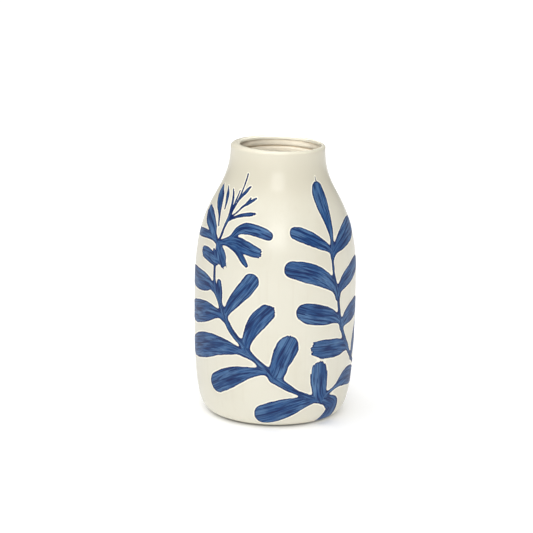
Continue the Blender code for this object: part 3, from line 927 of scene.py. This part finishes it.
def geometry_tree(name: str, inputs: Sequence[tuple[str, str]]) -> tuple[Tree, Graph, Node]:
    """Start a geometry tree with named inputs.

    Args:
        name: The tree's name.
        inputs: Each further input's name and socket type.

    Returns:
        The tree, its graph and its group input node.
    """
    tree = bpy.data.node_groups.new(name, "GeometryNodeTree")
    tree.interface.new_socket("Geometry", in_out="INPUT", socket_type="NodeSocketGeometry")
    for label, kind in inputs:
        tree.interface.new_socket(label, in_out="INPUT", socket_type=kind)
    tree.interface.new_socket("Geometry", in_out="OUTPUT", socket_type="NodeSocketGeometry")
    graph = Graph(tree)
    return tree, graph, graph.add("NodeGroupInput")


def turning_tree() -> Tree:
    """The wheel: turns a section (radius less one metre, height downwards) round the pot's axis.

    Returns:
        The tree, with inputs Steps Around and Surface.
    """
    tree, graph, source = geometry_tree("turned_on_the_wheel", (
        ("Steps Around", "NodeSocketInt"), ("Surface", "NodeSocketMaterial")))
    section = graph.add("GeometryNodeMeshToCurve", Mesh=source.outputs["Geometry"])
    circle = graph.add("GeometryNodeCurvePrimitiveCircle", Resolution=source.outputs["Steps Around"],
                       Radius=1.0)
    turned = graph.add("GeometryNodeCurveToMesh", Curve=circle.outputs["Curve"],
                       Profile_Curve=section.outputs["Curve"])
    merged = graph.add("GeometryNodeMergeByDistance", Geometry=turned.outputs["Mesh"],
                       Distance=0.002 * MM)
    moved = graph.add("GeometryNodeSetPosition", Geometry=merged.outputs["Geometry"],
                      Offset=graph.joined(x=graph.named("shift")))
    drop = graph.times(graph.times(graph.place_parts().outputs["X"], graph.named("lean")), -1.0)
    tipped = graph.add("GeometryNodeSetPosition", Geometry=moved.outputs["Geometry"],
                       Offset=graph.joined(z=drop))
    graph.finish(tipped.outputs["Geometry"], source)
    return tree


def painting_tree() -> Tree:
    """The brush: wraps a flat sheet of paint round the wall and gives it its thickness.

    The sheet's points are (angle, height, 0), and carry the wall's radius, its outward direction
    and the paint's lift there.

    Returns:
        The tree, with inputs Sunk and Surface.
    """
    tree, graph, source = geometry_tree("painted_on_the_wall", (
        ("Sunk", "NodeSocketFloat"), ("Surface", "NodeSocketMaterial")))

    place = graph.place_parts()
    kept = source
    for label, part in (("turn", "X"), ("rise", "Y")):
        kept = graph.add("GeometryNodeStoreNamedAttribute", {"data_type": "FLOAT", "domain": "POINT"},
                         Geometry=kept.outputs["Geometry"], Name=label, Value=place.outputs[part])

    def on_wall(lift: object) -> Socket:
        """Wire the place over the wall at a lift along its outward direction.

        Args:
            lift: The lift, or its socket.

        Returns:
            The place's socket.
        """
        reach = graph.math("MULTIPLY_ADD", graph.named("outward"), lift, graph.named("radius"))
        turn = graph.named("turn")
        east = graph.times(reach, graph.math("SINE", turn))
        south = graph.times(graph.times(reach, graph.math("COSINE", turn)), -1.0)
        level = graph.math("MULTIPLY_ADD", graph.named("upward"), lift, graph.named("rise"))
        height = graph.math("SUBTRACT", level, graph.times(graph.named("lean"), east))
        return graph.joined(east, south, height)

    sunk = graph.times(source.outputs["Sunk"], -1.0)
    under = graph.add("GeometryNodeSetPosition", Geometry=kept.outputs["Geometry"],
                      Position=on_wall(sunk))
    grown = graph.add("GeometryNodeExtrudeMesh", {"mode": "FACES"}, Mesh=under.outputs["Geometry"],
                      Offset_Scale=0.0, Individual=False)
    over = graph.add("GeometryNodeSetPosition", Geometry=grown.outputs["Mesh"],
                     Selection=grown.outputs["Top"], Position=on_wall(graph.named("lift")))
    flipped = graph.add("GeometryNodeFlipFaces", Mesh=under.outputs["Geometry"])
    both = graph.add("GeometryNodeJoinGeometry")
    tree.links.new(over.outputs["Geometry"], both.inputs[0])
    tree.links.new(flipped.outputs["Mesh"], both.inputs[0])
    merged = graph.add("GeometryNodeMergeByDistance", Geometry=both.outputs[0], Distance=0.001 * MM)
    graph.finish(merged.outputs["Geometry"], source)
    return tree


def grown(name: str, mesh: Mesh, tree: Tree, inputs: dict[str, object],
          surface: Material) -> Piece:
    """Run a geometry tree on a mesh once and keep the result as a plain piece.

    Args:
        name: The piece's name.
        mesh: What the tree starts from.
        tree: The tree.
        inputs: Values for its named inputs.
        surface: The material that the tree sets.

    Returns:
        The finished piece at the origin, with no modifier.
    """
    piece = bpy.data.objects.new(name, mesh)
    bpy.context.scene.collection.objects.link(piece)
    modifier = piece.modifiers.new("growth", "NODES")
    modifier.node_group = tree
    wanted = {**inputs, "Surface": surface}
    for item in tree.interface.items_tree:
        if item.item_type == "SOCKET" and item.in_out == "INPUT" and item.name in wanted:
            modifier[item.identifier] = wanted[item.name]
    ready = piece.evaluated_get(bpy.context.evaluated_depsgraph_get())
    plain = bpy.data.meshes.new_from_object(ready)
    piece.modifiers.clear()
    piece.data = plain
    bpy.data.meshes.remove(mesh)
    plain.name = name
    plain.shade_smooth()
    return piece


def add_floats(mesh: Mesh, name: str, values: np.ndarray) -> None:
    """Store one number for each point of a mesh.

    Args:
        mesh: The mesh.
        name: The attribute's name.
        values: The numbers, in the order of the points.
    """
    attribute = mesh.attributes.get(name) or mesh.attributes.new(name, "FLOAT", "POINT")
    attribute.data.foreach_set("value", np.asarray(values, dtype=np.float32))


def floats_of(mesh: Mesh, name: str) -> np.ndarray:
    """Read one stored number for each point of a mesh.

    Args:
        mesh: The mesh.
        name: The attribute's name.

    Returns:
        The numbers, in the order of the points.
    """
    values = np.empty(len(mesh.vertices), dtype=np.float32)
    mesh.attributes[name].data.foreach_get("value", values)
    return values


def points_of(mesh: Mesh) -> np.ndarray:
    """Read where a mesh's points are.

    Args:
        mesh: The mesh.

    Returns:
        Their places, one row each.
    """
    places = np.empty(len(mesh.vertices) * 3, dtype=np.float32)
    mesh.vertices.foreach_get("co", places)
    return places.reshape(-1, 3)


# -- The pot -------------------------------------------------

@dataclass
class Pot:
    """The turned pieces: bare clay, the outer glaze over the lip, and the lining."""

    wall: Wall
    work: BrushWork
    around: int = 330
    outer_rows: int = 230
    back_rows: int = 24
    lip_steps: int = 14
    clay_around: int = 192
    lining_around: int = 192
    lining_rows: int = 220
    ring_spacing: float = 4.7 * MM
    ring_depth: float = 0.7 * MM
    ring_fade: float = 60 * MM
    lining: float = 0.6 * MM
    dip_line: float = 0.05 * MM
    sharp_angle: float = 40.0
    crest_width: float = 1.2 * MM
    bare_above: float = 238 * MM
    ring_share: float = 0.35
    ring_start: float = 0.3 * MM

    def build(self, wheel: Tree) -> list[Piece]:
        """Turn the three pieces.

        Args:
            wheel: The turning tree.

        Returns:
            The pieces: clay, outer glaze, lining.
        """
        return [self.clay(wheel), self.outer(wheel), self.inner(wheel)]

    def turned(self, name: str, section: np.ndarray, closed: bool, around: int, wheel: Tree,
               surface: Material) -> Piece:
        """Turn one section on the wheel.

        Args:
            name: The piece's name.
            section: Rows of radius, height and shift.
            closed: Whether the section is a closed loop rather than a line from axis to axis.
            around: Steps round the axis.
            wheel: The turning tree.
            surface: Its finish.

        Returns:
            The finished piece.
        """
        mesh = bpy.data.meshes.new(name + "_section")
        count = len(section)
        edges = [(step, step + 1) for step in range(count - 1)]
        if closed:
            edges.append((count - 1, 0))
        places = [(radius - 1.0, -height, 0.0) for radius, height, _ in section]
        mesh.from_pydata(places, edges, [])
        add_floats(mesh, "shift", section[:, 2])
        add_floats(mesh, "level", section[:, 1])
        add_floats(mesh, "lean", self.wall.lean(section[:, 1]))
        piece = grown(name, mesh, wheel, {"Steps Around": around}, surface)
        self.face_outward(piece.data)
        piece.data.set_sharp_from_angle(angle=math.radians(self.sharp_angle))
        return piece

    @staticmethod
    def face_outward(mesh: Mesh) -> None:
        """Turn a closed shell's faces out if its volume comes out negative.

        Args:
            mesh: The closed mesh.
        """
        body = bmesh.new()
        body.from_mesh(mesh)
        bmesh.ops.recalc_face_normals(body, faces=body.faces[:])
        if body.calc_volume(signed=True) < 0:
            bmesh.ops.reverse_faces(body, faces=body.faces[:])
        body.to_mesh(mesh)
        body.free()

    def clay(self, wheel: Tree) -> Piece:
        """The thrown clay: foot ring with softened edges, recessed underside, wall and floor.

        Args:
            wheel: The turning tree.

        Returns:
            The clay piece.
        """
        wall = self.wall
        under = wall.glaze + wall.gap
        outer = wall.heel_radius - wall.foot_set_back
        inner = outer - wall.foot_ring_width
        edge = wall.foot_chamfer
        bend = np.linspace(0, math.pi / 2, 6)
        round_out = [(outer - edge + edge * math.sin(turn), edge - edge * math.cos(turn), 0.0)
                     for turn in bend]
        round_in = [(inner + edge - edge * math.cos(turn) * 0.6, edge - edge * math.sin(turn), 0.0)
                    for turn in bend]
        middle = np.linspace(0.0, inner - wall.recess_slope - edge, 30)
        dish = [(radius, wall.recess_depth - 0.5 * MM * (radius / inner) ** 2, 0.0) for radius in middle]
        foot = dish + [(inner - wall.recess_slope * 0.4, wall.recess_depth * 0.7, 0.0)] + round_in
        foot = foot + round_out + [(outer, wall.heel_height + under, 0.0)]
        face = wall.face(90, under)
        back = wall.back(60, self.lining + wall.gap)
        lip = wall.lip(self.lip_steps, under)
        section = np.vstack([np.array(foot), face, lip, back, [[0.0, back[-1][1], 0.0]]])
        return self.turned("clay_foot_and_wall", section, False, self.clay_around, wheel,
                           BareClay().material())

    def outer(self, wheel: Tree) -> Piece:
        """The cream coat, told at each point how far it is from the nearest paint.

        Args:
            wheel: The turning tree.

        Returns:
            The coat's piece.
        """
        wall = self.wall
        front = np.vstack([wall.face(self.outer_rows, 0.0), wall.lip(self.lip_steps, 0.0)])
        behind = np.vstack([wall.face(self.back_rows, wall.glaze), wall.lip(6, wall.glaze)])[::-1]
        piece = self.turned("cream_glaze", np.vstack([front, behind]), True, self.around, wheel,
                            CreamGlaze().material())
        places = points_of(piece.data)
        angle = np.degrees(np.arctan2(places[:, 0], -places[:, 1]))
        level = floats_of(piece.data, "level")
        gap = self.work.gap_at(angle, level / MM)
        gap = np.where(level > self.bare_above, self.work.reach, gap)
        add_floats(piece.data, "paint_gap", gap)
        # Marks the lip's inner side, inward of the crest, for the glaze's painted highlight.
        crest = wall.neck_radius - wall.lip_width + wall.lip_edge
        away = np.hypot(places[:, 0] - wall.mouth_offset, places[:, 1])
        inner_lip_highlight = np.clip(0.5 + (crest - away) / self.crest_width, 0, 1)
        add_floats(piece.data, "inner_lip_highlight", np.where(level > wall.lip_base - 1 * MM, inner_lip_highlight, 0.0))
        return piece

    def inner(self, wheel: Tree) -> Piece:
        """The lining, with throwing rings that fade down from the neck.

        Args:
            wheel: The turning tree.

        Returns:
            The lining's piece.
        """
        wall = self.wall
        front = wall.back(self.lining_rows, 0.0)
        top = wall.lip_base - self.dip_line
        front = front[front[:, 1] < top]
        depth = (top - front[:, 1]) / self.ring_spacing
        fading = np.exp(-(top - front[:, 1]) / self.ring_fade)
        strength = self.ring_depth * (self.ring_share + (1 - self.ring_share) * fading)
        wave = 0.5 - 0.5 * np.cos(2 * math.pi * (depth + 0.22 * np.sin(depth * 1.7)))
        valley = wave ** 9
        eased = np.clip((top - front[:, 1]) / self.ring_start, 0, 1)
        front[:, 0] = front[:, 0] + strength * (valley - 0.3) * eased
        back = wall.back(40, self.lining)
        back = back[back[:, 1] < top - 0.2 * MM]
        rim = [[wall.neck_radius - wall.lip_width + self.lining, top, wall.mouth_offset]]
        ends = [[0.0, front[-1][1], 0.0], [0.0, back[-1][1], 0.0]]
        section = np.vstack([front, ends, back[::-1], rim])
        piece = self.turned("warm_lining", section, False, self.lining_around, wheel,
                            LiningGlaze().material())
        levels = floats_of(piece.data, "level")
        # The valley attribute carries the painted shade of the ring grooves to the lining's material.
        add_floats(piece.data, "valley", np.interp(levels, front[::-1, 1], (valley * eased)[::-1]))
        return piece


# -- The paint -----------------------------------------------

@dataclass
class Painting:
    """Cuts each motif's sheet out of the brush work and lays it on the wall."""

    work: BrushWork
    film: float = 0.10 * MM
    bead: float = 0.10 * MM
    bead_width: float = 0.9
    sunk: float = 0.15 * MM
    shoulder: float = 0.35
    low: float = 3.0
    high: float = 246.0

    def build(self, brush: Tree, surface: Material) -> dict[Motif, Piece]:
        """Lay every motif.

        Args:
            brush: The painting tree.
            surface: The cobalt's material.

        Returns:
            The finished piece of each motif.
        """
        motifs = list(Motif)
        number = np.array([motifs.index(stroke.motif) for stroke in self.work.strokes])
        work = self.work
        inside = work.edge < 0
        owner = np.where(work.owner >= 0, number[work.owner], -1)
        # A cell belongs to the motif that lies deepest at one of its corners.
        corners = [(0, 0), (1, 0), (1, 1), (0, 1)]
        deepest = np.full(work.edge.shape, 1e9)
        cell_owner = np.full(work.edge.shape, -1)
        mask = np.zeros(work.edge.shape, dtype=int)
        for bit, (right, up) in enumerate(corners):
            edge = np.roll(work.edge, (-right, -up), (0, 1))
            near = np.roll(work.nearest, (-right, -up), (0, 1))
            mine = np.roll(owner, (-right, -up), (0, 1))
            mask |= np.roll(inside, (-right, -up), (0, 1)).astype(int) << bit
            better = (near < deepest) & (edge < 0)
            deepest = np.where(better, near, deepest)
            cell_owner = np.where(better, mine, cell_owner)
        low = int(self.low / work.step)
        high = int(self.high / work.step)
        pieces = {}
        for index, motif in enumerate(motifs):
            cells = np.argwhere((cell_owner == index) & (mask > 0))
            cells = cells[(cells[:, 1] >= low) & (cells[:, 1] < high)]
            sheet = self.sheet(motif.value, cells, mask)
            pieces[motif] = grown(motif.value, sheet, brush, {"Sunk": self.sunk}, surface)
        return pieces

    def sheet(self, name: str, cells: np.ndarray, mask: np.ndarray) -> Mesh:
        """One motif's flat sheet, cut along the paint's edge.

        Args:
            name: The sheet's name.
            cells: The grid cells that it covers, as column and row.
            mask: Which corners of each cell are painted.

        Returns:
            A flat mesh of (angle, height, 0) with what the painting tree reads.
        """
        work = self.work
        columns = work.columns
        start = int(np.median(cells[:, 0])) if len(cells) else 0
        points: dict[tuple[int, int, int], int] = {}
        rows: list[tuple[float, float, float, float, float, float]] = []
        faces: list[list[int]] = []

        def corner(column: int, row: int) -> int:
            """Find or add the sheet's point on a painted corner of the grid.

            Args:
                column: The corner's column.
                row: Its row.

            Returns:
                The point's number.
            """
            key = (0, column, row)
            if key not in points:
                points[key] = len(rows)
                at = (column % columns, row)
                rows.append((column, row, work.edge[at], work.along[at], work.across[at], work.load[at]))
            return points[key]

        def crossing(first: tuple[int, int], second: tuple[int, int]) -> int:
            """Find or add the sheet's point where the paint's edge crosses a grid line.

            Args:
                first: One corner of the line.
                second: The other corner.

            Returns:
                The point's number.
            """
            (column, row), (other, above) = sorted((first, second))
            key = (1 if row == above else 2, column, row)
            if key not in points:
                points[key] = len(rows)
                here = (column % columns, row)
                there = (other % columns, above)
                share = work.edge[here] / (work.edge[here] - work.edge[there])
                share = min(max(float(share), 0.02), 0.98)
                wet = here if work.edge[here] < 0 else there
                rows.append((column + (other - column) * share, row + (above - row) * share, 0.0,
                             work.along[wet], work.across[wet], work.load[wet]))
            return points[key]

        for column, row in cells:
            bits = mask[column, row]
            column = int(column) + (columns if column < start - columns // 2 else 0)
            column = column - (columns if column > start + columns // 2 else 0)
            row = int(row)
            ring = [(column, row), (column + 1, row), (column + 1, row + 1), (column, row + 1)]
            wet = [bool(bits >> bit & 1) for bit in range(4)]
            loop: list[int] = []
            for bit in range(4):
                after = (bit + 1) % 4
                if wet[bit]:
                    loop.append(corner(*ring[bit]))
                if wet[bit] != wet[after]:
                    loop.append(crossing(ring[bit], ring[after]))
            if wet == [True, False, True, False] or wet == [False, True, False, True]:
                continue
            faces.append(loop)
        data = np.array(rows)
        mesh = bpy.data.meshes.new(name + "_sheet")
        turn = np.radians(data[:, 0] * work.turn)
        rise = data[:, 1] * work.step * MM
        mesh.from_pydata(np.column_stack([turn, rise, np.zeros(len(rise))]).tolist(), [], faces)
        heights, radii, outward = work.wall.lookup()
        depth = -data[:, 2]
        bead = np.exp(-((depth - self.shoulder) / self.bead_width) ** 2)
        told = {
            "radius": np.interp(rise, heights, radii),
            "outward": np.interp(rise, heights, outward[:, 0]),
            "upward": np.interp(rise, heights, outward[:, 1]),
            "lean": work.wall.lean(rise),
            "lift": self.film * np.clip(depth / self.shoulder, 0.15, 1.0) + self.bead * bead,
            "edge": data[:, 2],
            "load": data[:, 5],
        }
        for label, values in told.items():
            add_floats(mesh, label, values)
        stroke = mesh.attributes.new("stroke", "FLOAT_VECTOR", "POINT")
        flow = np.column_stack([data[:, 3], data[:, 4], np.zeros(len(data))])
        stroke.data.foreach_set("vector", flow.astype(np.float32).ravel())
        return mesh


# -- The studio ----------------------------------------------

@dataclass(frozen=True)
class Studio:
    """A pale floor, soft lights and the camera."""

    camera_place: Place = (0.0, -2.032, 0.6352)
    pitch: float = 13.77
    yaw: float = -0.24
    roll: float = 1.11
    lens: float = 151.9
    floor_radius: float = 4.0
    key_place: Place = (0.05, -2.6, 1.35)
    key_target: Place = (0, 0, 0.12)
    key_size: float = 1.3
    key_power: float = 23.5
    top_place: Place = (-0.2, -0.6, 2.6)
    top_size: float = 2.6
    top_power: float = 12.0
    sky_strength: float = 2.2
    sky_place: Place = (-0.38, -0.15, 3.0)
    floor_glow: float = 0.30
    far_glow: float = 0.06
    glow_from: float = 54 * MM
    glow_full: float = 63 * MM
    mouth_light_place: Place = (-0.45, -0.8, 1.13)
    mouth_light_target: Place = (0.014, 0.036, 0.249)
    mouth_light_power: float = 64.0
    mouth_light_cone: float = 3.8
    mouth_light_blend: float = 0.6
    mouth_light_softness: float = 0.04
    sky_spread: float = 60.0
    floor_edges: int = 96
    far_glow_from: float = 0.15
    far_glow_full: float = 0.45
    surround_light: float = 0.15

    def build(self) -> None:
        """Set the floor, the lights, the surroundings and the camera."""
        self.floor()
        self.area("key_light", self.key_place, self.key_target, self.key_size, self.key_power)
        self.area("top_light", self.top_place, (0, 0, 0), self.top_size, self.top_power)
        self.skylight()
        self.mouth_light()
        self.surroundings()
        self.camera()

    def floor(self) -> None:
        """The floor: a wide pale disc, faintly mottled, that glows except close round the pot's foot."""
        mesh = bpy.data.meshes.new("floor")
        turns = [2 * math.pi * step / self.floor_edges for step in range(self.floor_edges)]
        rim = [(self.floor_radius * math.cos(turn), self.floor_radius * math.sin(turn), 0.0)
               for turn in turns]
        mesh.from_pydata(rim, [], [list(range(self.floor_edges))])
        sheet = bpy.data.objects.new("floor", mesh)
        bpy.context.scene.collection.objects.link(sheet)
        material, graph, shader = new_material("pale_floor")
        place = graph.object_place()
        tone = graph.mix(graph.noise(place, 3.0), (0.80, 0.80, 0.80, 1), (0.82, 0.82, 0.82, 1))
        graph.tree.links.new(tone, shader.inputs["Base Color"])
        shader.inputs["Roughness"].default_value = 0.9
        shader.inputs["Specular IOR Level"].default_value = 0.1
        shader.inputs["Emission Color"].default_value = (1, 1, 1, 1)
        # Painted contact shadow: the glow is held at zero close round the foot and rises outwards, so the
        # ring by the foot stays dark.
        away = graph.length(place)
        glow = graph.ramp(away, self.glow_from, self.glow_full, 0.0, self.floor_glow)
        far = graph.ramp(away, self.far_glow_from, self.far_glow_full, 0.0, self.far_glow)
        glow = graph.math("ADD", glow, far)
        graph.tree.links.new(glow, shader.inputs["Emission Strength"])
        mesh.materials.append(material)

    def area(self, name: str, place: Place, target: Place, size: float, power: float) -> None:
        """Hang one soft square light.

        Args:
            name: The light's name.
            place: Where it hangs.
            target: What it points at.
            size: The length of its side.
            power: Its power in watts.
        """
        lamp = bpy.data.lights.new(name, "AREA")
        lamp.size = size
        lamp.energy = power
        self.hang(lamp, place, target)

    @staticmethod
    def hang(lamp: bpy.types.Light, place: Place, target: Place) -> None:
        """Hang a lamp under its own name.

        Args:
            lamp: The lamp.
            place: Where it hangs.
            target: What it points at.
        """
        holder = bpy.data.objects.new(lamp.name, lamp)
        holder.location = place
        holder.rotation_euler = (Vector(target) - Vector(place)).to_track_quat("-Z", "Y").to_euler()
        bpy.context.scene.collection.objects.link(holder)

    def skylight(self) -> None:
        """A wide, soft light from straight above that keeps the floor evenly pale."""
        lamp = bpy.data.lights.new("skylight", "SUN")
        lamp.energy = self.sky_strength
        lamp.angle = math.radians(self.sky_spread)
        self.hang(lamp, self.sky_place, (0, 0, 0))

    def mouth_light(self) -> None:
        """A narrow, soft-edged lamp that looks over the front of the lip into the mouth."""
        lamp = bpy.data.lights.new("mouth_light", "SPOT")
        lamp.energy = self.mouth_light_power
        lamp.spot_size = math.radians(self.mouth_light_cone)
        lamp.spot_blend = self.mouth_light_blend
        lamp.shadow_soft_size = self.mouth_light_softness
        self.hang(lamp, self.mouth_light_place, self.mouth_light_target)

    def surroundings(self) -> None:
        """White surroundings: bright where the camera sees them, softer as light."""
        world = bpy.data.worlds.new("studio")
        bpy.context.scene.world = world
        world.use_nodes = True
        graph = Graph(world.node_tree)
        seen = graph.add("ShaderNodeLightPath").outputs["Is Camera Ray"]
        strength = graph.math("MULTIPLY_ADD", seen, 1 - self.surround_light, self.surround_light)
        light = graph.add("ShaderNodeBackground", Color=(1, 1, 1, 1), Strength=strength)
        graph.add("ShaderNodeOutputWorld", Surface=light.outputs[0])

    def camera(self) -> None:
        """Aim the camera from its place by pitch, yaw and roll."""
        pitch = math.radians(self.pitch)
        yaw = math.radians(self.yaw)
        roll = math.radians(self.roll)
        level = math.cos(pitch)
        ahead = Vector((math.sin(yaw) * level, math.cos(yaw) * level, -math.sin(pitch)))
        right = ahead.cross(Vector((0, 0, 1))).normalized()
        up = right.cross(ahead)
        turned_right = right * math.cos(roll) + up * math.sin(roll)
        turned_up = up * math.cos(roll) - right * math.sin(roll)
        matrix = Matrix((turned_right, turned_up, -ahead)).transposed().to_4x4()
        matrix.translation = Vector(self.camera_place)
        lens = bpy.data.cameras.new("camera")
        lens.lens = self.lens
        lens.sensor_width = 36.0
        lens.clip_end = 50.0
        eye = bpy.data.objects.new("camera", lens)
        eye.matrix_world = matrix
        bpy.context.scene.collection.objects.link(eye)
        bpy.context.scene.camera = eye


# -- Putting it together -------------------------------------

REPLACED = {
    Motif.FLOWER_STEM: "flower_stem",
    Motif.FLOWER_LEAVES: "flower_leaf",
    Motif.PETALS: "petal",
    Motif.STAMENS: "stamen",
    Motif.FROND_STEM: "frond_stem",
    Motif.FROND_LEAVES: "frond_leaf",
    Motif.BASE_LEAVES: "base_leaf",
    Motif.BACK_RIGHT_STEM: "back_right_frond_stem",
    Motif.BACK_RIGHT_LEAVES: "back_right_frond_leaf",
    Motif.BACK_LEFT_STEM: "back_left_frond_stem",
    Motif.BACK_LEFT_LEAVES: "back_left_frond_leaf",
}


def nodes_of(start: str) -> list[str]:
    """The frame's nodes whose names start with these words."""
    return sorted(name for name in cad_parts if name.startswith(start))


def main() -> None:
    """Build every piece, set it riding on the pot, and light the scene."""
    logging.basicConfig(level=logging.INFO, format="%(name)s: %(message)s")
    bpy.context.scene.view_settings.view_transform = "Standard"
    wall = Wall.in_box(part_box("outer_glaze")[1])
    work = BrushWork(wall)
    pot = Pot(wall, work).build(turning_tree())
    for piece, node, slot in zip(pot, ("clay_body", "outer_glaze", "lining_glaze"),
                                 ("bare_clay", "cream_glaze", "lining_glaze")):
        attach(piece, "root")
        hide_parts(node)
        LOG.info("%s: %d faces", piece.name, len(piece.data.polygons))
    painted = Painting(work).build(painting_tree(), CobaltBrush().material())
    for motif, piece in painted.items():
        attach(piece, "root")
        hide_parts(*nodes_of(REPLACED[motif]))
        LOG.info("%s: %d faces", piece.name, len(piece.data.polygons))
    Studio().build()


if __name__ == "__main__":
    main()
